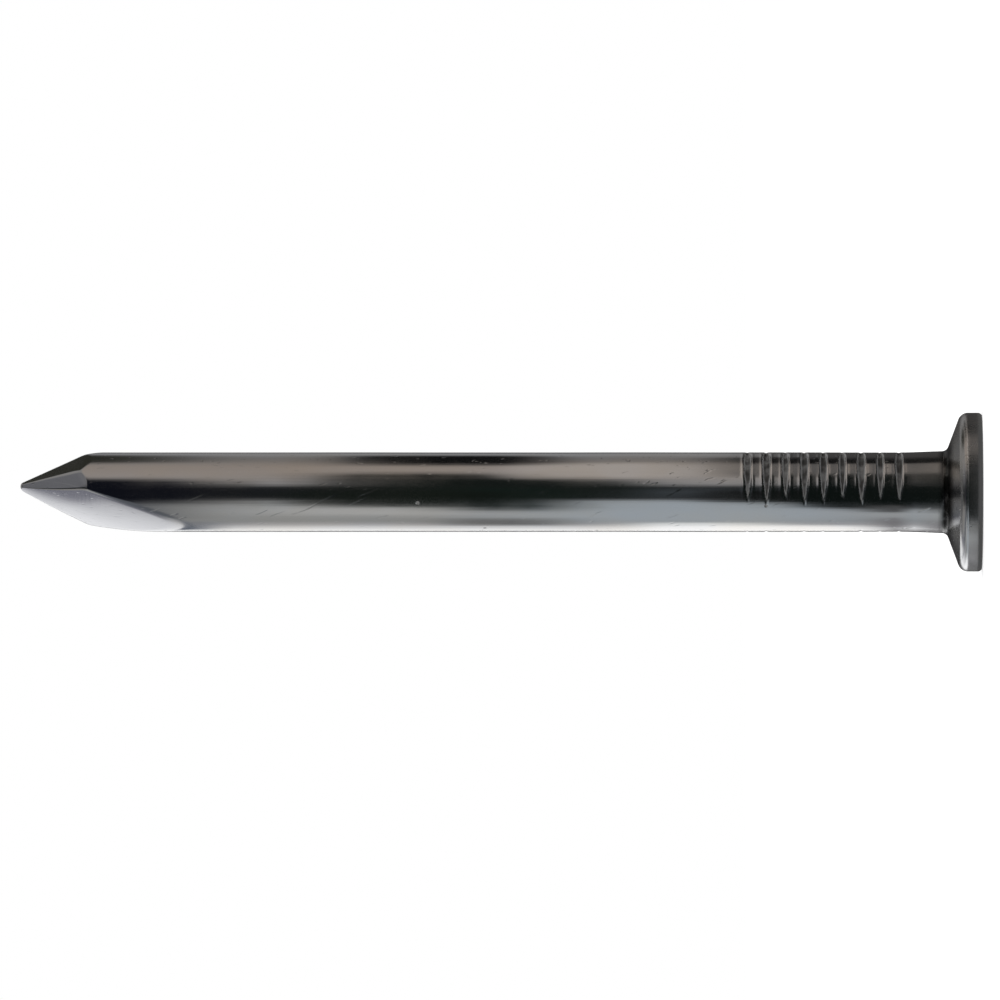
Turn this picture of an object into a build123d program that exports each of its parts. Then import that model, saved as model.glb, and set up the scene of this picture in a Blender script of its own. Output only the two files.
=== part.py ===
from build123d import *
import os
from math import cos, radians, sin, tan

# Concrete nail: one piece of hardened steel wire, headed at one end and pointed at the other.
# Millimetres. It stands on its head: the origin is the centre of the head's struck face, and +Z
# runs along the shank to the point. Azimuths are degrees about +Z, counted from +X.

# Wire and overall length
overall_length = 50.8
shank_diameter = 4.2

# Head: a flat struck face, a short cylindrical rim and a conical underside
head_diameter = 8.4
rim_thickness = 1.12
underside_angle = 20.5
face_edge_round = 0.22
under_edge_round = 0.55

# Neck: the wire was upset under the head, and thins to its drawn size at the neck's height
neck_round = 0.35
neck_swell = 0.08
neck_height = 4.1

# Gripper marks: rows of crescent grooves bitten by the two halves of the heading die
mark_count = 9
mark_pitch = 1.0
first_mark_height = 4.4
mark_depth = 0.13
tooth_angle = 110.0
tooth_tip_round = 0.03
tooth_ring_radius = 2.25
tooth_clearance = 0.1
die_azimuth = -45.0

# Point: flats pinched at unequal slopes, so the tip stands off the axis; (azimuth, slope)
point_flats = {
    "front": (-80.0, 27.3),
    "trim": (-32.5, 24.8),
    "back": (19.0, 21.3),
    "rear": (90.0, 28.0),
    "keel": (165.0, 30.3),
}
tip_offset_x = 0.29
tip_offset_y = -0.11
tip_blunting = 0.34

# The long flat is bowed lengthwise, so it lies down towards the shank, and crowned a little across
long_flat_azimuth = -149.0
long_flat_slope = 21.5
long_flat_radius = 38.0
long_flat_crown = 10.0

# Sizes that follow from the ones above
shank_radius = shank_diameter / 2
head_radius = head_diameter / 2
neck_radius = shank_radius + neck_swell
neck_base = rim_thickness + (head_radius - neck_radius) * tan(radians(underside_angle))
apex = (tip_offset_x, tip_offset_y, overall_length + tip_blunting)


def direction(azimuth, slope=0.0):
    """Unit vector at an azimuth, raised by the slope towards the point."""
    level = cos(radians(slope))
    return Vector(
        level * cos(radians(azimuth)),
        level * sin(radians(azimuth)),
        sin(radians(slope)),
    )


with BuildPart() as nail:
    # Headed wire: half of its section, turned about the axis
    with BuildSketch(Plane.XZ) as section:
        with BuildLine():
            Polyline(
                (0, 0),
                (head_radius, 0),
                (head_radius, rim_thickness),
                (neck_radius, neck_base),
                (shank_radius, neck_height),
                (shank_radius, overall_length),
                (0, overall_length),
                close=True,
            )
        make_face()
        rim_corners = section.vertices().group_by(Axis.X)[-1].sort_by(Axis.Y)
        neck_corner = section.vertices().sort_by_distance((neck_radius, neck_base))[0]
        fillet(rim_corners[0], radius=face_edge_round)
        fillet(rim_corners[-1], radius=under_edge_round)
        fillet(neck_corner, radius=neck_round)
    revolve(axis=Axis.Z)

    # Gripper marks: the teeth's ring is a little wider than the wire, so they bite deepest at the
    # middle of each die half and run out before the line where the halves meet
    tooth_length = mark_depth + tooth_clearance
    tooth_half_width = tooth_length * tan(radians(tooth_angle / 2))
    for azimuth in (die_azimuth, die_azimuth + 180):
        ring_centre = direction(azimuth) * (shank_radius - mark_depth - tooth_ring_radius)
        die_plane = Plane(
            origin=ring_centre,
            x_dir=direction(azimuth - 90),
            z_dir=direction(azimuth + 180),
        )
        for mark in range(mark_count):
            mark_height = first_mark_height + mark * mark_pitch
            with BuildSketch(die_plane) as tooth:
                with BuildLine():
                    Polyline(
                        (tooth_ring_radius, mark_height),
                        (tooth_ring_radius + tooth_length, mark_height - tooth_half_width),
                        (tooth_ring_radius + tooth_length, mark_height + tooth_half_width),
                        close=True,
                    )
                make_face()
                fillet(tooth.vertices().sort_by(Axis.X)[0], radius=tooth_tip_round)
            revolve(
                axis=Axis(ring_centre, (0, 0, 1)),
                revolution_arc=180,
                mode=Mode.SUBTRACT,
            )

    # Point: every flat passes through the same apex, just beyond the blunted tip
    for azimuth, slope in point_flats.values():
        split(
            bisect_by=Plane(origin=apex, z_dir=direction(azimuth, slope)),
            keep=Keep.BOTTOM,
        )
    crown_centre = Vector(*apex) - direction(long_flat_azimuth) * long_flat_crown
    flat_plane = Plane(
        origin=crown_centre,
        x_dir=direction(long_flat_azimuth - 90),
        z_dir=direction(long_flat_azimuth + 180),
    )
    with BuildSketch(flat_plane) as beyond_flat:
        with BuildLine():
            bow = CenterArc(
                center=(
                    long_flat_crown - long_flat_radius * cos(radians(long_flat_slope)),
                    -long_flat_radius * sin(radians(long_flat_slope)),
                ),
                radius=long_flat_radius,
                start_angle=long_flat_slope,
                arc_size=-long_flat_slope,
            )
            Polyline(
                bow @ 1,
                (long_flat_crown + head_diameter, (bow @ 1).Y),
                (long_flat_crown + head_diameter, 0),
                bow @ 0,
            )
        make_face()
    revolve(
        axis=Axis(crown_centre, (0, 0, 1)),
        revolution_arc=180,
        mode=Mode.SUBTRACT,
    )

nail.part.label = "nail"
os.makedirs("parts", exist_ok=True)
export_step(nail.part, "parts/nail.step")
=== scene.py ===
"""A polished concrete nail, standing on its head and seen from the side.

The nail's surface is one swept mesh: rows that follow the section of the head, the neck and the
shank, and columns that run round the axis. Every row is cut back by the gripper marks and by the
flats of the point, with the small roundings that tumbling leaves on the edges. Sizes are in
millimetres unless a name says otherwise, and bearings and azimuths are in degrees.
"""

import logging
import math
from dataclasses import dataclass, field
from enum import Enum
from typing import Any, Mapping, Sequence, Union

import bpy
import numpy as np
from mathutils import Matrix, Vector


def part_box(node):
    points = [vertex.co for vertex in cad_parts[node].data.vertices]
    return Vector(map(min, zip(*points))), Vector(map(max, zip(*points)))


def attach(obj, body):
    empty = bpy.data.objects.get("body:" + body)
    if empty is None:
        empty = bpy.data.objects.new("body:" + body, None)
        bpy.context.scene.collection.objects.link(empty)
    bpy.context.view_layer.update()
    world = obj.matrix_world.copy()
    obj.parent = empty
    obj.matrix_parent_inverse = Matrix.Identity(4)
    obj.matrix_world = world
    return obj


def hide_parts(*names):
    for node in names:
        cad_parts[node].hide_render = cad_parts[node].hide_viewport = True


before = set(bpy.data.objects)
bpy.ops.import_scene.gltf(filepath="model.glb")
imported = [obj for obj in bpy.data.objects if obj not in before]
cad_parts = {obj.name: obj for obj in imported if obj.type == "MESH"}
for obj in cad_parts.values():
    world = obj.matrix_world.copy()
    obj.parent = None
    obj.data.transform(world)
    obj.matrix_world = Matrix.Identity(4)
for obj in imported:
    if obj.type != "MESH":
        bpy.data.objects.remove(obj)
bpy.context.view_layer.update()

MM = 0.001
# A radius beyond every surface, for where a surface isn't met
FAR = 1.0e3
# Least cosine, between a direction and where a flat faces, at which the flat is met
PLANE_MET = 1.0e-3
CROWN_MET = -0.2
log = logging.getLogger("nail")

Triple = tuple[float, float, float]
Colour = Triple
Number = Union[float, "Value"]


class Trait(Enum):
    """What is stored for each point of the nail's surface, for its finish to read."""

    FLAT = "flat"
    RIDGE = "ridge"
    MARK = "mark"
    LIP = "lip"
    NECK = "neck"
    EDGE = "edge"
    FORGED = "forged"


class Seen(Enum):
    """The kinds of ray that see the white surroundings as they are."""

    CAMERA = "Is Camera Ray"
    GLOSSY = "Is Glossy Ray"
    TRANSMISSION = "Is Transmission Ray"


def smooth_step(low: float, high: float, x: np.ndarray) -> np.ndarray:
    """Ramp from 0 at low to 1 at high, level at both ends."""
    t = np.clip((x - low) / (high - low), 0.0, 1.0)
    return t * t * (3.0 - 2.0 * t)


def smooth_min(a: np.ndarray, b: np.ndarray, rounding: Union[float, np.ndarray]) -> np.ndarray:
    """The lower of two radii, with the edge between them rounded.

    Args:
        a: radii of one surface.
        b: radii of the other surface.
        rounding: how far apart the radii may be and still be rounded.

    Returns:
        The radii of the rounded surface.
    """
    h = np.clip(0.5 + 0.5 * (b - a) / rounding, 0.0, 1.0)
    return b + (a - b) * h - rounding * h * (1.0 - h)


def heading(azimuth: float) -> tuple[float, float]:
    """Unit vector at an azimuth counted from +X."""
    return math.cos(math.radians(azimuth)), math.sin(math.radians(azimuth))


def grey(level: float) -> Colour:
    """A grey of this level."""
    return level, level, level


def placed(name: str, data: Any) -> bpy.types.Object:
    """A new object in the scene, made of a mesh, a lamp's data or a camera's."""
    made = bpy.data.objects.new(name, data)
    bpy.context.scene.collection.objects.link(made)
    return made


def store(mesh: bpy.types.Mesh, name: str, amounts: np.ndarray) -> None:
    """Store one number for each point of a mesh under a name."""
    stored = mesh.attributes.new(name, "FLOAT", "POINT")
    stored.data.foreach_set("value", amounts.astype(np.float32))


class Value:
    """A number that varies over a surface, held as a node's output.

    Ordinary arithmetic on it adds the Math nodes that work the result out.
    """

    def __init__(self, tree: "Tree", socket: bpy.types.NodeSocket) -> None:
        """Keep the socket and the tree that it belongs to."""
        self.tree = tree
        self.socket = socket

    def _math(self, operation: str, *others: Number, swap: bool = False) -> "Value":
        """One Math node on this value.

        Args:
            operation: the Math node's operation.
            others: its other inputs, in order.
            swap: put the first of them before this value.

        Returns:
            The node's result.
        """
        inputs: list[Number] = [self, *others]
        if swap:
            inputs[0], inputs[1] = inputs[1], inputs[0]
        node = self.tree.node("ShaderNodeMath", {"operation": operation}, dict(enumerate(inputs)))
        return Value(self.tree, node.outputs[0])

    def __add__(self, other: Number) -> "Value":
        """This value plus another."""
        return self._math("ADD", other)

    __radd__ = __add__

    def __sub__(self, other: Number) -> "Value":
        """This value less another."""
        return self._math("SUBTRACT", other)

    def __rsub__(self, other: float) -> "Value":
        """A number less this value."""
        return self._math("SUBTRACT", other, swap=True)

    def __mul__(self, other: Number) -> "Value":
        """This value times another."""
        return self._math("MULTIPLY", other)

    __rmul__ = __mul__

    def __truediv__(self, other: Number) -> "Value":
        """This value over another."""
        return self._math("DIVIDE", other)

    def __pow__(self, other: Number) -> "Value":
        """This value raised to a power."""
        return self._math("POWER", other)

    def __or__(self, other: Number) -> "Value":
        """The larger of two values."""
        return self._math("MAXIMUM", other)

    def root(self) -> "Value":
        """The square root."""
        return self._math("SQRT")

    def ramp(self, low: float, high: float) -> "Value":
        """Smooth ramp of this value.

        Args:
            low: where the ramp is 0.
            high: where the ramp is 1; it may be below low.

        Returns:
            The ramp, from 0 to 1.
        """
        rising = low < high
        node = self.tree.node(
            "ShaderNodeMapRange",
            {"interpolation_type": "SMOOTHSTEP"},
            {
                "Value": self,
                "From Min": low if rising else high,
                "From Max": high if rising else low,
                "To Min": 0.0 if rising else 1.0,
                "To Max": 1.0 if rising else 0.0,
            },
        )
        return Value(self.tree, node.outputs["Result"])


class Tree:
    """A material's or the world's node tree, emptied and ready to be filled."""

    def __init__(self, owner: Union[bpy.types.Material, bpy.types.World]) -> None:
        """Turn the owner's nodes on and clear them."""
        owner.use_nodes = True
        self.nodes = owner.node_tree.nodes
        self.links = owner.node_tree.links
        self.nodes.clear()

    def node(
        self,
        kind: str,
        settings: Union[Mapping[str, Any], None] = None,
        inputs: Union[Mapping[Union[str, int], Any], None] = None,
    ) -> bpy.types.Node:
        """Any node, with its settings made first and its sockets filled after.

        Args:
            kind: the node's type.
            settings: the node's own properties; stops are a colour ramp's places and colours.
            inputs: numbers, colours or links, by the socket's name or place.

        Returns:
            The node.
        """
        made = self.nodes.new(kind)
        for name, setting in (settings or {}).items():
            if name == "stops":
                self._set_stops(made.color_ramp, setting)
            else:
                setattr(made, name, setting)
        for place, given in (inputs or {}).items():
            if isinstance(given, Value):
                self.links.new(given.socket, made.inputs[place])
            elif isinstance(given, bpy.types.NodeSocket):
                self.links.new(given, made.inputs[place])
            else:
                made.inputs[place].default_value = given
        return made

    @staticmethod
    def _set_stops(ramp: bpy.types.ColorRamp, stops: Sequence[tuple[float, Colour]]) -> None:
        """Give a colour ramp its stops.

        Args:
            ramp: the colour ramp.
            stops: the place and colour of each stop, from left to right.
        """
        while len(ramp.elements) < len(stops):
            ramp.elements.new(1.0)
        for element, (place, colour) in zip(ramp.elements, stops):
            element.position = place
            element.color = (*colour, 1.0)

    def trait(self, name: str) -> Value:
        """A number stored in the mesh under this name."""
        node = self.node("ShaderNodeAttribute", {"attribute_name": name})
        return Value(self, node.outputs["Fac"])

    def place_mm(self) -> bpy.types.NodeSocket:
        """The surface point in the object's own frame, in millimetres."""
        coordinates = self.node("ShaderNodeTexCoord").outputs["Object"]
        return self.stretched(coordinates, (1.0 / MM, 1.0 / MM, 1.0 / MM))

    def stretched(self, vector: bpy.types.NodeSocket, factors: Triple) -> bpy.types.NodeSocket:
        """A vector with each part multiplied by its own factor."""
        return self.node(
            "ShaderNodeVectorMath", {"operation": "MULTIPLY"}, {0: vector, 1: factors}
        ).outputs[0]

    def turned(
        self, vector: bpy.types.NodeSocket, axis: Triple, angle: float
    ) -> bpy.types.NodeSocket:
        """A vector turned about an axis through the origin, by degrees."""
        return self.node(
            "ShaderNodeVectorRotate",
            {"rotation_type": "AXIS_ANGLE"},
            {"Vector": vector, "Axis": axis, "Angle": math.radians(angle)},
        ).outputs[0]

    def noise(self, vector: bpy.types.NodeSocket, detail: float, roughness: float) -> Value:
        """Cloudy noise, about 0.5 in the mean.

        Args:
            vector: where the noise is read.
            detail: how many finer layers it has.
            roughness: how strong the finer layers are.

        Returns:
            The noise.
        """
        node = self.node(
            "ShaderNodeTexNoise",
            {"noise_dimensions": "3D"},
            {"Vector": vector, "Scale": 1.0, "Detail": detail, "Roughness": roughness},
        )
        return Value(self, node.outputs["Fac"])

    def blend(self, a: Any, b: Any, share: Number) -> bpy.types.NodeSocket:
        """Colour a turned into colour b.

        Args:
            a: a colour or a link to one.
            b: a colour or a link to one.
            share: 0 for a, 1 for b.

        Returns:
            The mixed colour's socket.
        """
        colours = [c if isinstance(c, bpy.types.NodeSocket) else (*c, 1.0) for c in (a, b)]
        node = self.node(
            "ShaderNodeMix",
            {"data_type": "RGBA"},
            {0: share, 6: colours[0], 7: colours[1]},
        )
        return node.outputs[2]


@dataclass(frozen=True)
class Grain:
    """A noise pattern of a finish.

    Fields: its stretch for each millimetre along X, Y and Z, its detail, the strength of that
    detail, and the ends of the ramp that is laid over it, if any.
    """

    stretch: Triple
    detail: float
    roughness: float
    ramp: Union[tuple[float, float], None] = None

    def over(self, tree: Tree, place: bpy.types.NodeSocket) -> Value:
        """The pattern on a surface.

        Args:
            tree: the material's tree.
            place: the surface point in millimetres.

        Returns:
            The pattern's amount, from 0 to 1.
        """
        amount = tree.noise(tree.stretched(place, self.stretch), self.detail, self.roughness)
        return amount.ramp(*self.ramp) if self.ramp else amount


@dataclass(frozen=True)
class Corner:
    """A corner of the nail's half section.

    Fields: distance from the axis, height above the head's face, rounding radius, and the spacing
    of the rows on the straight run that ends here.
    """

    out: float
    height: float
    rounding: float = 0.0
    spacing: float = 0.3


@dataclass(frozen=True)
class HalfSection:
    """The outline that is swept round the axis, as rows of (distance out, height)."""

    corners: tuple[Corner, ...]
    arc_spacing: float = 0.045

    def rows(self) -> np.ndarray:
        """Walk the outline from its first corner to its last.

        Returns:
            An array of (distance out, height), without the first corner, which lies on the axis.
        """
        places = [Vector((c.out, c.height)) for c in self.corners]
        walked: list[Vector] = []
        here = places[0]
        for index in range(1, len(places)):
            corner, place = self.corners[index], places[index]
            arc: list[Vector] = []
            if corner.rounding > 0.0:
                arc = self._arc(places[index - 1], place, places[index + 1], corner.rounding)
            goal = arc[0] if arc else place
            steps = max(1, math.ceil((goal - here).length / corner.spacing))
            walked += [here.lerp(goal, step / steps) for step in range(1, steps + 1)]
            walked += arc[1:]
            here = walked[-1]
        return np.array([tuple(p) for p in walked])

    def _arc(self, before: Vector, at: Vector, after: Vector, radius: float) -> list[Vector]:
        """The points of the round that replaces a corner.

        Args:
            before: the corner before it.
            at: the corner.
            after: the corner after it.
            radius: the round's radius.

        Returns:
            Points from one tangent point to the other.
        """
        back, on = (before - at).normalized(), (after - at).normalized()
        half = back.angle(on) / 2.0
        start = at + back * (radius / math.tan(half))
        end = at + on * (radius / math.tan(half))
        centre = at + (back + on).normalized() * (radius / math.sin(half))
        sweep = math.pi - 2.0 * half
        count = max(3, math.ceil(radius * sweep / self.arc_spacing))
        first, last = start - centre, end - centre
        return [centre + radius * first.slerp(last, step / count) for step in range(count + 1)]


@dataclass(frozen=True)
class GripMarks:
    """Crescent grooves that the two halves of the heading die bite into the wire.

    The teeth's ring is a little wider than the wire, so the grooves are deepest at the middle of
    each half and run out on both sides.
    """

    count: int = 9
    pitch: float = 1.0
    first_height: float = 4.4
    depth: float = 0.13
    tooth_angle: float = 110.0
    tip_rounding: float = 0.03
    ring_radius: float = 2.25
    azimuth: float = -45.0
    unevenness: float = 0.22
    uneven_step: float = 2.4
    lip_height: float = 0.005
    lip_distance: float = 0.26
    lip_width: float = 0.07
    lip_spread: float = 0.45
    edge_rounding: float = 0.03

    @property
    def end_height(self) -> float:
        """Height at which the shank is smooth again, half a pitch beyond the last mark."""
        return self.first_height + (self.count - 0.5) * self.pitch

    def _nearest(self, height: np.ndarray) -> np.ndarray:
        """Number of the mark nearest to each height."""
        return np.clip(np.round((height - self.first_height) / self.pitch), 0, self.count - 1)

    def _offset(self, height: np.ndarray) -> np.ndarray:
        """Distance along the axis from each height to the nearest mark."""
        return np.abs(height - self.first_height - self._nearest(height) * self.pitch)

    def floor(self, shank: float, azimuth: np.ndarray, height: np.ndarray) -> np.ndarray:
        """Radius of the teeth's surface.

        Args:
            shank: the shank's radius.
            azimuth: azimuths round the nail, as a row, in radians.
            height: heights, as a column.

        Returns:
            Radii for each height and azimuth, beyond the shank where no tooth reaches it.
        """
        flank = np.sqrt(self._offset(height) ** 2 + self.tip_rounding**2) - self.tip_rounding
        swing = np.sin(self._nearest(height) * self.uneven_step)
        shallower = 0.5 * self.unevenness * self.depth * (1.0 + swing)
        tooth = self.ring_radius + shallower + flank / math.tan(math.radians(self.tooth_angle / 2))
        shift = self.ring_radius - shank + self.depth
        surface = np.full(np.broadcast(azimuth, height).shape, FAR)
        for turn in (0.0, 180.0):
            aim = np.cos(azimuth - math.radians(self.azimuth + turn))
            reach = np.sqrt(tooth**2 - shift**2 * (1.0 - aim**2)) - shift * aim
            surface = np.where(aim > 0.0, reach, surface)
        return surface

    def lip(self, shank: float, azimuth: np.ndarray, height: np.ndarray) -> np.ndarray:
        """Share of the full lip height that is raised beside the marks.

        Args:
            shank: the shank's radius.
            azimuth: azimuths round the nail, as a row, in radians.
            height: heights, as a column.

        Returns:
            Shares from 0 to 1.
        """
        offset = self._offset(height)
        rise = np.exp(-(((offset - self.lip_distance) / self.lip_width) ** 2))
        aim = np.abs(np.cos(azimuth - math.radians(self.azimuth)))
        return rise * smooth_step(shank / self.ring_radius - self.lip_spread, 1.0, aim)


@dataclass(frozen=True)
class Flat:
    """One pinched flat of the point.

    Fields: where it faces, its slope to the axis at the tip, and the radii to which it is bowed
    lengthwise and crowned across, which are 0 for a plane flat.
    """

    azimuth: float
    slope: float
    bow: float = 0.0
    crown: float = 0.0

    def rise(self, below: np.ndarray) -> np.ndarray:
        """Distance of the flat's middle from the apex, measured square to the axis.

        Args:
            below: how far below the apex.

        Returns:
            The distances.
        """
        slope = math.radians(self.slope)
        if self.bow == 0.0:
            return math.tan(slope) * below
        level = self.bow * math.sin(slope)
        bowed = np.sqrt(self.bow**2 - np.minimum(below - level, 0.0) ** 2)
        return np.where(below < level, bowed - self.bow * math.cos(slope), FAR)

    def reach(
        self, azimuth: np.ndarray, below: np.ndarray, east: np.ndarray, north: np.ndarray
    ) -> np.ndarray:
        """How far the flat lies from a centre line.

        Args:
            azimuth: azimuths, as a row, in radians.
            below: how far each row is below the apex, as a column.
            east: the apex's distance from the centre line along +X, as a column.
            north: the same along +Y.

        Returns:
            One radius for each row and azimuth, far away where the flat isn't met.
        """
        ahead_x, ahead_y = heading(self.azimuth)
        aim = ahead_x * np.cos(azimuth) + ahead_y * np.sin(azimuth)
        rise = self.rise(below)
        if self.crown == 0.0:
            distance = rise + ahead_x * east + ahead_y * north
            return np.where(aim > PLANE_MET, distance / np.maximum(aim, PLANE_MET), FAR)
        back_x, back_y = self.crown * ahead_x - east, self.crown * ahead_y - north
        along = back_x * np.cos(azimuth) + back_y * np.sin(azimuth)
        inside = (self.crown + rise) ** 2 - back_x**2 - back_y**2
        return np.where(aim > CROWN_MET, np.sqrt(along**2 + inside) - along, FAR)


@dataclass(frozen=True)
class PinchedPoint:
    """The flats of the point, which all pass through one apex just beyond the blunt tip."""

    flats: tuple[Flat, ...] = (
        Flat(-149.0, 21.5, bow=38.0, crown=10.0),
        Flat(-80.0, 27.3),
        Flat(-32.5, 24.8),
        Flat(19.0, 21.3),
        Flat(90.0, 28.0),
        Flat(165.0, 30.3),
    )
    offset: tuple[float, float] = (0.29, -0.11)
    blunting: float = 0.34
    tip_rounding: float = 0.22
    dome_spread: float = 50.0
    ridge_rounding: float = 0.11
    least_rounding: float = 0.04
    full_rounding_at: float = 3.0
    bend_length: float = 11.0
    straight_length: float = 1.0

    def centre(self, length: float, height: np.ndarray) -> tuple[np.ndarray, np.ndarray]:
        """The line that the rows are measured from: the axis, bent over to the apex."""
        share = smooth_step(length - self.bend_length, length - self.straight_length, height)
        return self.offset[0] * share, self.offset[1] * share

    def surfaces(
        self, length: float, azimuth: np.ndarray, height: np.ndarray
    ) -> list[np.ndarray]:
        """How far each flat, and the rounding of the tip, lie from the centre line.

        Args:
            length: the nail's overall length.
            azimuth: azimuths, as a row, in radians.
            height: heights, as a column.

        Returns:
            One array of radii for each surface, far away where it isn't met.
        """
        x, y = self.centre(length, height)
        below = length + self.blunting - height
        found = [
            flat.reach(azimuth, below, self.offset[0] - x, self.offset[1] - y)
            for flat in self.flats
        ]
        deep = np.maximum(length - height, 0.0)
        spread = math.tan(math.radians(self.dome_spread))
        dome = np.sqrt(2.0 * self.tip_rounding * deep + (spread * deep) ** 2)
        found.append(dome * np.ones_like(azimuth))
        return found

    def rounding(self, length: float, height: np.ndarray) -> np.ndarray:
        """Rounding of the ridges, which sharpens towards the tip."""
        below = length + self.blunting - height
        share = np.clip(below / self.full_rounding_at, self.least_rounding, 1.0)
        return self.ridge_rounding * share


@dataclass(frozen=True)
class RowSpacing:
    """How far apart the rows of the mesh lie on each stretch of the nail."""

    face: float = 0.35
    rim: float = 0.09
    underside: float = 0.13
    neck: float = 0.16
    marks: float = 0.055
    shank: float = 0.6
    point: float = 0.075
    tip: float = 0.03
    tip_end: float = 0.008


@dataclass(frozen=True)
class TraitSpread:
    """How far the traits reach.

    Pairs say where a trait begins and where it is full, or where the forged head ends below and
    above the neck's foot. The neck's painted shade reaches by its own measure across and along the
    wire.
    """

    flat_cut: tuple[float, float] = (0.01, 0.06)
    mark_cut: tuple[float, float] = (0.003, 0.030)
    neck_reach: tuple[float, float] = (0.30, 1.20)
    neck_across: float = 0.7
    neck_along: float = 2.2
    forged_end: tuple[float, float] = (-0.1, 0.3)
    edge_width: float = 0.16
    ridge_width: float = 0.6


@dataclass(frozen=True)
class Wave:
    """A slow swing of the drawn wire's radius.

    Fields: its strength, how often it swings round the wire, how fast it turns with each
    millimetre of height, and where it starts.
    """

    strength: float
    lobes: float
    twist: float
    start: float = 0.0

    def at(self, azimuth: np.ndarray, height: np.ndarray) -> np.ndarray:
        """The swing at each azimuth and height."""
        return self.strength * np.sin(self.lobes * azimuth + height * self.twist + self.start)


@dataclass
class Nail:
    """The whole nail: headed wire, gripper marks and pinched point, in one piece."""

    length: float
    head_radius: float
    shank_radius: float = 2.1
    rim_thickness: float = 1.12
    underside_angle: float = 20.5
    face_edge_round: float = 0.22
    under_edge_round: float = 0.55
    neck_round: float = 0.35
    neck_swell: float = 0.08
    neck_height: float = 4.1
    neck_blend: float = 30.0
    columns: int = 212
    waviness: float = 0.004
    waves: tuple[Wave, ...] = (
        Wave(1.0, 2.0, 0.31),
        Wave(0.8, 3.0, -0.47, 1.3),
        Wave(0.6, 1.0, 0.83, 2.1),
    )
    marks_margin: float = 0.3
    tip_length: float = 0.5
    tip_end_length: float = 0.06
    tip_gap: float = 0.004
    spacing: RowSpacing = RowSpacing()
    spread: TraitSpread = TraitSpread()
    marks: GripMarks = field(default_factory=GripMarks)
    point: PinchedPoint = field(default_factory=PinchedPoint)

    @property
    def neck_radius(self) -> float:
        """Radius of the wire where it meets the head."""
        return self.shank_radius + self.neck_swell

    @property
    def neck_base(self) -> float:
        """Height at which the head's underside meets the wire."""
        rise = math.tan(math.radians(self.underside_angle))
        return self.rim_thickness + (self.head_radius - self.neck_radius) * rise

    def _section(self) -> HalfSection:
        """The half section.

        Returns:
            The outline from the middle of the head's face to the tip.
        """
        spacing = self.spacing
        bend, tip = self.length - self.point.bend_length, self.length - self.tip_length
        tip_end, last = self.length - self.tip_end_length, self.length - self.tip_gap
        return HalfSection(
            (
                Corner(0.0, 0.0),
                Corner(self.head_radius, 0.0, self.face_edge_round, spacing.face),
                Corner(self.head_radius, self.rim_thickness, self.under_edge_round, spacing.rim),
                Corner(self.neck_radius, self.neck_base, self.neck_round, spacing.underside),
                Corner(self.shank_radius, self.neck_height, self.neck_blend, spacing.neck),
                Corner(self.shank_radius, self.marks.end_height, 0.0, spacing.marks),
                Corner(self.shank_radius, bend, 0.0, spacing.shank),
                Corner(self.shank_radius, tip, 0.0, spacing.point),
                Corner(self.shank_radius, tip_end, 0.0, spacing.tip),
                Corner(self.shank_radius, last, 0.0, spacing.tip_end),
            )
        )

    def _surface(self) -> tuple[np.ndarray, dict[Trait, np.ndarray]]:
        """Every point of the nail's surface.

        Returns:
            The points in millimetres, by row and column, and each trait at those points.
        """
        rows = self._section().rows()
        out, height = rows[:, :1], rows[:, 1:]
        azimuth = np.linspace(0.0, 2.0 * math.pi, self.columns, endpoint=False)[None, :]
        x, y = self.point.centre(self.length, height)
        along = x * np.cos(azimuth) + y * np.sin(azimuth)
        wire = -along + np.sqrt(out**2 - x**2 - y**2 + along**2)
        wire = wire - self._wave(azimuth, height)

        on_wire = smooth_step(self.neck_height - self.marks_margin, self.neck_height, height)
        on_wire = on_wire * (height < self.marks.end_height)
        lip = self.marks.lip(self.shank_radius, azimuth, height) * on_wire
        raised = wire + self.marks.lip_height * lip
        teeth = self.marks.floor(self.shank_radius, azimuth, height)
        teeth = np.where(on_wire > 0.0, teeth, FAR)
        marked = smooth_min(raised, teeth, self.marks.edge_rounding)

        rounding = self.point.rounding(self.length, height)
        radius, gap = marked, np.full(marked.shape, FAR)
        for surface in self.point.surfaces(self.length, azimuth, height):
            gap = np.minimum(gap, np.abs(radius - surface))
            radius = smooth_min(radius, surface, rounding)

        points = np.stack(
            (
                x + radius * np.cos(azimuth),
                y + radius * np.sin(azimuth),
                np.broadcast_to(height, radius.shape),
            ),
            axis=-1,
        )
        traits = {
            Trait.FLAT: smooth_step(*self.spread.flat_cut, marked - radius),
            Trait.RIDGE: np.exp(-((gap / (self.spread.ridge_width * rounding)) ** 2)),
            Trait.MARK: smooth_step(*self.spread.mark_cut, raised - marked),
            Trait.LIP: lip,
            **self._head_traits(out, height),
        }
        return points, {trait: np.broadcast_to(traits[trait], radius.shape) for trait in traits}

    def _head_traits(self, out: np.ndarray, height: np.ndarray) -> dict[Trait, np.ndarray]:
        """The traits of the head and the neck, which are the same all round.

        Args:
            out: each row's distance from the axis, as a column.
            height: each row's height, as a column.

        Returns:
            Each trait, as a column.
        """
        spread = self.spread
        from_neck = np.hypot(
            spread.neck_across * (out - self.neck_radius),
            spread.neck_along * (height - self.neck_base),
        )
        from_edge = np.minimum(
            np.hypot(out - self.head_radius, height),
            np.hypot(out - self.head_radius, height - self.rim_thickness),
        )
        forged_low, forged_high = (self.neck_base + step for step in spread.forged_end)
        return {
            # Painted shade: the neck mask marks the crease where the wire meets the head, which
            # the finish darkens
            Trait.NECK: 1.0 - smooth_step(*spread.neck_reach, from_neck),
            Trait.EDGE: np.exp(-((from_edge / spread.edge_width) ** 2)),
            Trait.FORGED: 1.0 - smooth_step(forged_low, forged_high, height),
        }

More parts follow.
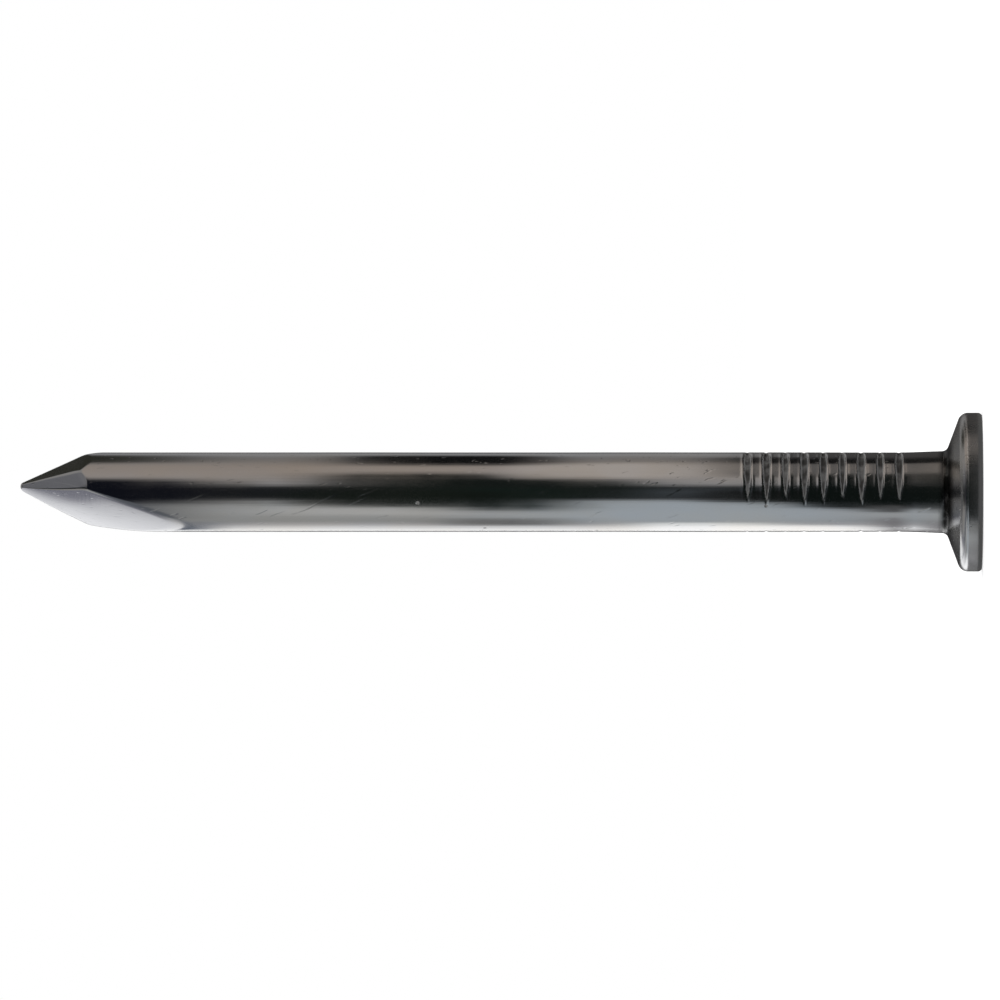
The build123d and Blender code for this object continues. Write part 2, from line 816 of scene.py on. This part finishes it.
    def _wave(self, azimuth: np.ndarray, height: np.ndarray) -> np.ndarray:
        """How far the drawn wire dips below its nominal radius.

        Args:
            azimuth: azimuths round the nail, as a row, in radians.
            height: heights, as a column.

        Returns:
            One dip for each height and azimuth, never below 0.
        """
        swing = sum(wave.at(azimuth, height) for wave in self.waves)
        return self.waviness * (1.0 + swing / sum(wave.strength for wave in self.waves))

    def build(self) -> bpy.types.Object:
        """Make the nail's mesh.

        Returns:
            The nail, in metres, standing on its head at the frame's origin.
        """
        points, traits = self._surface()
        count, columns = points.shape[:2]
        base = np.array([[0.0, 0.0, 0.0]])
        tip = np.array([[*self.point.offset, self.length]])
        vertices = np.concatenate((base, points.reshape(-1, 3), tip)) * MM
        top = len(vertices) - 1

        ring = list(range(columns))
        pairs = list(zip(ring, ring[1:] + ring[:1]))
        last = 1 + (count - 1) * columns
        faces: list[tuple[int, ...]] = [(0, 1 + b, 1 + a) for a, b in pairs]
        for low in range(1, last, columns):
            high = low + columns
            faces += [(low + a, low + b, high + b, high + a) for a, b in pairs]
        faces += [(last + a, last + b, top) for a, b in pairs]

        mesh = bpy.data.meshes.new("polished_nail")
        mesh.from_pydata(vertices.tolist(), [], faces)
        mesh.polygons.foreach_set("use_smooth", [True] * len(mesh.polygons))
        for trait, amounts in traits.items():
            store(mesh, trait.value, np.concatenate(([0.0], amounts.reshape(-1), [1.0])))
        mesh.update()
        return placed("polished_nail", mesh)


@dataclass(frozen=True)
class PolishedSteel:
    """Hardened steel wire, tumbled bright, with dark residue left in its recesses and painted
    shade in the crease of the neck.
    """

    cool: Colour = (0.56, 0.565, 0.575)
    warm: Colour = (0.59, 0.575, 0.555)
    pinched: Colour = (0.60, 0.605, 0.625)
    bright: Colour = grey(0.68)
    residue: Colour = (0.030, 0.028, 0.026)
    # Painted shade: near-black colour laid into the neck's crease, standing in for the shade there
    painted_neck_shade: Colour = (0.016, 0.016, 0.015)
    smears: Grain = Grain((0.35, 0.35, 0.16), 3.0, 0.55, (0.35, 0.68))
    fine_lines: Grain = Grain((9.0, 9.0, 0.10), 3.0, 0.6)
    coarse_lines: Grain = Grain((2.6, 2.6, 0.06), 2.0, 0.5)
    scratches: Grain = Grain((6.0, 6.0, 0.35), 1.0, 0.4, (0.70, 0.78))
    scratch_axis: Triple = (0.3, 1.0, 0.0)
    scratch_lean: float = 24.0
    pinch_ripples: Grain = Grain((0.7, 0.7, 8.0), 2.0, 0.6)
    # Noise that varies both the real residue in the marks and the painted shade in the neck
    grime_and_shade: Grain = Grain((1.6, 1.6, 1.6), 3.0, 0.6, (0.30, 0.62))
    pit_scale: float = 0.55
    pit_edge: tuple[float, float] = (0.075, 0.03)
    pitted_cells: tuple[float, float] = (0.45, 0.5)
    clean_share_in_marks: float = 0.25
    unshaded_share_in_neck: float = 0.28
    grime_in_pits: float = 0.5
    wear_on_lips: float = 0.6
    wear_brightness: float = 0.55
    residue_dullness: float = 0.85
    polish: float = 0.11
    smear_roughness: float = 0.07
    line_roughness: float = 0.09
    scratch_roughness: float = 0.06
    worn_smoothness: float = 0.03
    residue_roughness: float = 0.26
    neck_shade_roughness: float = 0.05
    flat_roughness: float = 0.03
    forged_roughness: float = 0.10
    fine_depth: float = 0.0024
    coarse_depth: float = 0.0036
    scratch_depth: float = 0.004
    ripple_depth: float = 0.0015
    pit_depth: float = 0.006
    directionality: float = 0.45

    def material(self, name: str) -> bpy.types.Material:
        """Make the finish.

        Args:
            name: the material's name.

        Returns:
            The material.
        """
        made = bpy.data.materials.new(name)
        tree = Tree(made)
        place = tree.place_mm()
        smears = self.smears.over(tree, place)
        fine = self.fine_lines.over(tree, place)
        coarse = self.coarse_lines.over(tree, place)
        leaning = tree.turned(place, self.scratch_axis, self.scratch_lean)
        scratches = self.scratches.over(tree, leaning)
        ripples = self.pinch_ripples.over(tree, place)
        grime_and_shade = self.grime_and_shade.over(tree, place)
        pits = self._pits(tree, place)

        flat = tree.trait(Trait.FLAT.value)
        lip = tree.trait(Trait.LIP.value)
        forged = tree.trait(Trait.FORGED.value)
        worn = tree.trait(Trait.RIDGE.value) | tree.trait(Trait.EDGE.value)
        worn = worn | lip * self.wear_on_lips
        clean_and_unshaded = 1.0 - grime_and_shade
        # Painted shade: the neck's crease is darkened towards the near-black colour, broken up by
        # the noise
        painted_shade = tree.trait(Trait.NECK.value) * (1.0 - self.unshaded_share_in_neck * clean_and_unshaded)
        marked = tree.trait(Trait.MARK.value) * (1.0 - self.clean_share_in_marks * clean_and_unshaded)
        marked = marked | pits * self.grime_in_pits

        colour = tree.blend(self.cool, self.warm, smears)
        colour = tree.blend(colour, self.pinched, flat)
        colour = tree.blend(colour, self.bright, worn * self.wear_brightness)
        colour = tree.blend(colour, self.residue, marked)
        # Painted shade: the neck's crease turned near black
        colour = tree.blend(colour, self.painted_neck_shade, painted_shade)
        rough = (
            self.polish
            + self.smear_roughness * smears
            + self.line_roughness * (fine - 0.5)
            + self.scratch_roughness * scratches
            - self.worn_smoothness * worn
            + self.residue_roughness * marked
            + self.neck_shade_roughness * painted_shade
            + self.flat_roughness * flat
            + self.forged_roughness * forged
        )
        drawn = 1.0 - flat
        rise = (
            self.fine_depth * fine * drawn
            + self.coarse_depth * coarse * drawn
            + self.ripple_depth * ripples * flat
            - self.scratch_depth * scratches
            - self.pit_depth * pits
        )
        bump = tree.node("ShaderNodeBump", None, {"Strength": 1.0, "Distance": MM, "Height": rise})
        shader = tree.node(
            "ShaderNodeBsdfPrincipled",
            None,
            {
                "Base Color": colour,
                "Metallic": 1.0 - self.residue_dullness * marked,
                "Roughness": rough,
                "Anisotropic": self.directionality,
                "Normal": bump.outputs["Normal"],
            },
        )
        tree.node("ShaderNodeOutputMaterial", None, {"Surface": shader.outputs[0]})
        return made

    def _pits(self, tree: Tree, place: bpy.types.NodeSocket) -> Value:
        """Small dings from tumbling, in some cells of a loose pattern.

        Args:
            tree: the material's tree.
            place: the surface point in millimetres.

        Returns:
            1 in a ding and 0 outside it.
        """
        cells = tree.node(
            "ShaderNodeTexVoronoi",
            {"feature": "F1"},
            {"Vector": place, "Scale": self.pit_scale},
        )
        pit = Value(tree, cells.outputs["Distance"]).ramp(*self.pit_edge)
        shade = tree.node("ShaderNodeSeparateColor", None, {0: cells.outputs["Color"]})
        return pit * Value(tree, shade.outputs[0]).ramp(*self.pitted_cells)


@dataclass(frozen=True)
class Patch:
    """A soft-edged area of the screen with a tone of its own.

    Fields: what it stands for, its place and half size in bearing and height, how soft its edge is
    as a share of its size, and its tone.
    """

    stands_for: str
    bearing: float
    half_bearing: float
    height: float
    half_height: float
    softness: float
    tone: Colour

    def share(self, bearing: Value, height: Value) -> Value:
        """How much of this area a place of the screen belongs to.

        Args:
            bearing: the place's bearing.
            height: the place's height.

        Returns:
            1 inside the area and 0 outside it.
        """
        across = (bearing - self.bearing) / self.half_bearing
        up = (height - self.height) / self.half_height
        reach = (across**4 + up**4).root().root()
        return reach.ramp(1.0 + self.softness, 1.0 - self.softness)


@dataclass(frozen=True)
class Reflector:
    """The tent round the nail that its polish mirrors: a cloth, a round wall and a ceiling.

    Bearings are 0 towards the camera, 90 towards the photograph's top and -90 towards its bottom.
    Heights from 0 to the top lie on the wall. Below 0 they count inwards from its foot over the
    cloth, and beyond the top they count inwards over the ceiling.
    """

    radius: float = 70.0
    top: float = 190.0
    hole: float = 4.07
    cloth_lift: float = 0.02
    first_bearing: float = -154.0
    last_bearing: float = 206.0
    columns: int = 180
    wall_rows: int = 60
    level_rows: int = 24
    tones: tuple[tuple[float, Colour], ...] = (
        (-154.0, (1.35, 1.35, 1.36)),
        (-138.0, grey(1.25)),
        (-127.0, (1.05, 1.05, 1.06)),
        (-116.0, (0.85, 0.85, 0.86)),
        (-106.0, (0.55, 0.55, 0.56)),
        (-92.0, (0.39, 0.40, 0.40)),
        (-62.0, (0.48, 0.49, 0.49)),
        (-35.0, (0.46, 0.47, 0.47)),
        (20.0, (0.42, 0.41, 0.41)),
        (52.0, (0.43, 0.38, 0.345)),
        (79.0, (0.40, 0.345, 0.305)),
        (95.0, (0.32, 0.29, 0.27)),
        (114.0, (0.26, 0.25, 0.245)),
        (140.0, (0.34, 0.34, 0.345)),
        (165.0, grey(0.14)),
        (206.0, grey(0.12)),
    )
    patches: tuple[Patch, ...] = (
        Patch("unlit room", 54.0, 152.0, 162.0, 100.0, 0.12, (0.30, 0.29, 0.28)),
        Patch("room's dark end", 6.0, 38.0, 150.0, 75.0, 0.15, grey(0.035)),
        Patch("pale board above the lens", 27.0, 24.0, 117.0, 56.0, 0.15, (0.20, 0.20, 0.21)),
        Patch("room under the window", -140.0, 46.0, 152.0, 58.0, 0.12, grey(0.20)),
        Patch("ceiling", 26.0, 300.0, 240.0, 44.0, 0.10, grey(0.12)),
        Patch("window's far side", -98.0, 11.0, 64.0, 12.0, 0.25, (0.22, 0.22, 0.25)),
        Patch("window's top", -108.0, 16.0, 84.0, 15.5, 0.15, (0.24, 0.24, 0.28)),
        Patch("lit wall above the middle", 66.0, 26.0, 19.5, 5.2, 0.2, (0.56, 0.51, 0.47)),
        Patch("lit wall under the middle", -60.0, 42.0, 15.0, 9.0, 0.5, (0.50, 0.55, 0.59)),
        Patch("lit wall under the lens", -55.0, 14.0, 32.5, 6.0, 0.3, (0.60, 0.61, 0.61)),
        Patch("lit edge under the middle", -116.0, 16.0, 14.0, 3.8, 0.3, (1.20, 1.22, 1.22)),
        Patch("bright edge under the middle", -136.0, 22.0, 11.5, 6.3, 0.2, grey(1.50)),
        Patch("column", -2.0, 20.0, 25.0, 900.0, 0.38, (0.020, 0.022, 0.024)),
        Patch("lit part of the column", -3.0, 12.0, 16.5, 3.8, 0.6, (0.08, 0.09, 0.10)),
        Patch("lens, far half", 20.0, 37.0, 30.2, 5.4, 0.20, (0.008, 0.011, 0.009)),
        Patch("lens, near half", 8.0, 31.0, 25.5, 8.5, 0.25, (0.010, 0.014, 0.012)),
        Patch("lens, lower edge", -22.0, 34.0, 25.2, 3.6, 0.30, (0.010, 0.018, 0.015)),
        Patch("lens, lower far edge", -18.0, 24.0, 31.0, 6.6, 0.20, (0.010, 0.014, 0.011)),
        Patch("column's foot", -13.0, 18.0, 11.0, 3.6, 0.25, grey(0.012)),
        Patch("hood over the lens", 108.0, 24.0, 28.3, 6.0, 0.30, grey(0.008)),
        Patch("hood under the lens", -98.0, 14.0, 25.2, 3.2, 0.6, grey(0.20)),
        Patch("clamp above the head", 72.0, 30.0, 8.6, 4.6, 0.15, (0.145, 0.136, 0.13)),
        Patch("clamp before the head", 1.0, 53.5, 0.0, 10.2, 0.10, (0.006, 0.009, 0.008)),
        Patch("clamp's near arm", 107.0, 18.0, 0.0, 13.5, 0.15, grey(0.010)),
        Patch("clamp's far arm", 144.0, 30.0, 0.0, 11.0, 0.30, (0.070, 0.068, 0.068)),
        Patch("clamp under the head", -104.0, 26.0, 0.0, 4.4, 0.15, (0.26, 0.25, 0.26)),
        Patch("clamp behind the head", -150.0, 26.0, 0.0, 4.0, 0.15, (0.42, 0.41, 0.42)),
        Patch("clamp's foot", -50.0, 12.0, 1.6, 3.6, 0.20, grey(0.09)),
        Patch("dark behind the head", 181.0, 22.0, 14.0, 22.0, 0.30, grey(0.045)),
        Patch("stand before the point", -1.0, 40.0, 51.0, 10.5, 0.20, (0.007, 0.008, 0.013)),
        Patch("stand above the point", 114.0, 24.0, 67.0, 24.0, 0.22, (0.035, 0.035, 0.028)),
        Patch("stand's shade", -62.0, 32.0, 55.0, 12.0, 0.25, (0.13, 0.14, 0.16)),
        Patch("stand under the point", -118.0, 24.0, 43.8, 2.5, 0.30, (0.17, 0.19, 0.23)),
        Patch("dark cloth", 68.0, 106.0, -36.0, 36.0, 0.08, grey(0.05)),
        Patch("cloth before the head", 4.5, 42.5, -36.0, 37.0, 0.10, (0.008, 0.010, 0.009)),
        Patch("cloth under the head", -140.0, 32.0, -36.0, 37.0, 0.15, grey(0.19)),
        Patch("cloth at the rim", 26.0, 300.0, -69.0, 9.0, 0.15, grey(0.11)),
    )

    def _profile(self) -> list[Triple]:
        """The tent's section, from the nail's head over the cloth, the wall and the ceiling.

        Returns:
            Each row's distance from the axis, its level, and its height as the patches count it.
        """
        inward = np.linspace(self.radius - self.hole, 0.0, self.level_rows, endpoint=False)
        rows = [(self.radius - run, self.cloth_lift, -run) for run in inward]
        levels = np.linspace(0.0, self.top, self.wall_rows)
        rows += [(self.radius, level, level) for level in levels]
        rows += [(self.radius - run, self.top, self.top + run) for run in inward[::-1]]
        return rows

    def build(self) -> bpy.types.Object:
        """Make the tent's mesh and its glow.

        Returns:
            The tent, which only reflections see.
        """
        bearings = np.linspace(self.first_bearing, self.last_bearing, self.columns)
        aim = np.radians(bearings)
        profile = self._profile()
        vertices = [
            (out * MM * math.sin(a), -out * MM * math.cos(a), level * MM)
            for out, level, _ in profile
            for a in aim
        ]
        faces = [
            (r + c, r + c + 1, r + c + 1 + self.columns, r + c + self.columns)
            for r in range(0, (len(profile) - 1) * self.columns, self.columns)
            for c in range(self.columns - 1)
        ]
        mesh = bpy.data.meshes.new("studio_reflector")
        mesh.from_pydata(vertices, [], faces)
        store(mesh, "bearing", np.tile(bearings, len(profile)))
        heights = [height for _, _, height in profile]
        store(mesh, "height", np.repeat(heights, self.columns))
        mesh.materials.append(self._glow())
        tent = placed("studio_reflector", mesh)
        tent.visible_camera = False
        tent.visible_diffuse = False
        tent.visible_shadow = False
        tent.visible_transmission = False
        return tent

    def _glow(self) -> bpy.types.Material:
        """The tent's light.

        Returns:
            A glow that changes with bearing and height.
        """
        made = bpy.data.materials.new("reflector_glow")
        tree = Tree(made)
        bearing, height = tree.trait("bearing"), tree.trait("height")
        span = self.last_bearing - self.first_bearing
        stops = [((b - self.first_bearing) / span, tone) for b, tone in self.tones]
        share = (bearing - self.first_bearing) / span
        tone = tree.node("ShaderNodeValToRGB", {"stops": stops}, {0: share}).outputs["Color"]
        for patch in self.patches:
            tone = tree.blend(tone, patch.tone, patch.share(bearing, height))
        glow = tree.node("ShaderNodeEmission", None, {"Color": tone, "Strength": 1.0})
        tree.node("ShaderNodeOutputMaterial", None, {"Surface": glow.outputs[0]})
        return made


def seen_as_is(tree: Tree) -> Value:
    """Sort the rays that meet the white surroundings.

    Args:
        tree: the tree of the surroundings.

    Returns:
        1 for the rays that see them as they are, and 0 for the rest.
    """
    path = tree.node("ShaderNodeLightPath")
    camera, glossy, through = (Value(tree, path.outputs[ray.value]) for ray in Seen)
    return camera | glossy | through


@dataclass(frozen=True)
class WhiteSet:
    """White surroundings and a pale floor under the nail."""

    floor_size_mm: float = 2400.0
    daylight: float = 0.85
    white: Colour = (1.0, 1.0, 1.0)
    paper: Colour = (0.82, 0.82, 0.82)
    paper_lift: float = 0.31
    paper_grain: Grain = Grain((1.5, 1.5, 1.5), 4.0, 0.6)
    grain_depth: float = 0.05
    grain_strength: float = 0.2

    def build(self) -> bpy.types.Object:
        """Make the floor and light the surroundings.

        Returns:
            The floor.
        """
        world = bpy.data.worlds.new("white_surroundings")
        bpy.context.scene.world = world
        tree = Tree(world)
        strength = self.daylight + (1.0 - self.daylight) * seen_as_is(tree)
        sky = tree.node(
            "ShaderNodeBackground", None, {"Color": (*self.white, 1.0), "Strength": strength}
        )
        tree.node("ShaderNodeOutputWorld", None, {"Surface": sky.outputs[0]})

        half = self.floor_size_mm / 2 * MM
        mesh = bpy.data.meshes.new("floor")
        corners = [(-half, -half, 0.0), (half, -half, 0.0), (half, half, 0.0), (-half, half, 0.0)]
        mesh.from_pydata(corners, [], [(0, 1, 2, 3)])
        mesh.materials.append(self._paper())
        floor = placed("floor", mesh)
        return floor

    def _paper(self) -> bpy.types.Material:
        """Matt white paper that keeps the nail's shadow.

        Returns:
            The material.
        """
        made = bpy.data.materials.new("white_paper")
        tree = Tree(made)
        grain = self.paper_grain.over(tree, tree.place_mm())
        bump = tree.node(
            "ShaderNodeBump",
            None,
            {"Strength": self.grain_strength, "Distance": MM, "Height": grain * self.grain_depth},
        )
        matt = tree.node(
            "ShaderNodeBsdfDiffuse",
            None,
            {"Color": (*self.paper, 1.0), "Normal": bump.outputs["Normal"]},
        )
        lift = tree.node(
            "ShaderNodeEmission",
            None,
            {"Color": (*self.white, 1.0), "Strength": seen_as_is(tree) * self.paper_lift},
        )
        both = tree.node("ShaderNodeAddShader", None, {0: matt.outputs[0], 1: lift.outputs[0]})
        tree.node("ShaderNodeOutputMaterial", None, {"Surface": both.outputs[0]})
        return made


@dataclass(frozen=True)
class SoftBox:
    """A square soft lamp overhead, which is aimed at the nail and lights the floor."""

    name: str = "overhead_lamp"
    place: Triple = (155.0, 280.0, 410.0)
    size: float = 260.0
    watts: float = 0.9

    def build(self, aim: Vector) -> bpy.types.Object:
        """Make the lamp.

        Args:
            aim: the point that it is turned to, in metres.

        Returns:
            The lamp.
        """
        data = bpy.data.lights.new(self.name, "AREA")
        data.size = self.size * MM
        data.energy = self.watts
        lamp = placed(self.name, data)
        lamp.location = Vector(self.place) * MM
        lamp.rotation_euler = (aim - lamp.location).to_track_quat("-Z", "Y").to_euler()
        lamp.visible_glossy = False
        return lamp


@dataclass(frozen=True)
class PhotographView:
    """The camera: square on to the nail's side, turned so that the point is at the left.

    The pixel values are places in the 1000 x 1000 photograph: the head's face, the blunt tip and
    the axis of the shank.
    """

    picture: float = 1000.0
    face_column: float = 982.0
    tip_column: float = 20.5
    axis_row: float = 492.1
    lens: float = 850.0
    sensor: float = 36.0
    near_share: float = 0.1
    far_share: float = 20.0

    def build(self, length: float) -> bpy.types.Object:
        """Make the camera.

        Args:
            length: the nail's overall length, which spans the two columns.

        Returns:
            The camera.
        """
        pixel = length / (self.face_column - self.tip_column)
        distance = self.lens / self.sensor * self.picture * pixel
        height = (self.face_column - self.picture / 2) * pixel
        aside = (self.axis_row - self.picture / 2) * pixel
        data = bpy.data.cameras.new("camera")
        data.lens = self.lens
        data.sensor_width = self.sensor
        data.clip_start = distance * self.near_share * MM
        data.clip_end = distance * self.far_share * MM
        camera = placed("camera", data)
        # The picture's right is the nail's -Z, its up is +X, and the view runs along +Y
        turn = Matrix(((0.0, 1.0, 0.0), (0.0, 0.0, -1.0), (-1.0, 0.0, 0.0))).to_4x4()
        camera.matrix_world = Matrix.Translation(Vector((aside, -distance, height)) * MM) @ turn
        bpy.context.scene.camera = camera
        return camera


def main() -> None:
    """Build the nail, its set, its lamps and the camera, and report each piece."""
    logging.basicConfig(level=logging.INFO, format="%(name)s: %(message)s")
    low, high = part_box("nail")
    nail_sizes = Nail(length=high.z / MM, head_radius=high.x / MM)

    nail = nail_sizes.build()
    nail.data.materials.append(PolishedSteel().material("polished_steel"))
    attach(nail, "root")
    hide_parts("nail")
    log.info("%s: %d faces, %.1f mm long", nail.name, len(nail.data.polygons), nail_sizes.length)

    middle = (low + high) / 2
    for piece in (
        WhiteSet().build(),
        Reflector().build(),
        SoftBox().build(middle),
        PhotographView().build(nail_sizes.length),
    ):
        log.info("%s: %s", piece.type.lower(), piece.name)

    bpy.context.scene.view_settings.view_transform = "Standard"


if __name__ == "__main__":
    main()
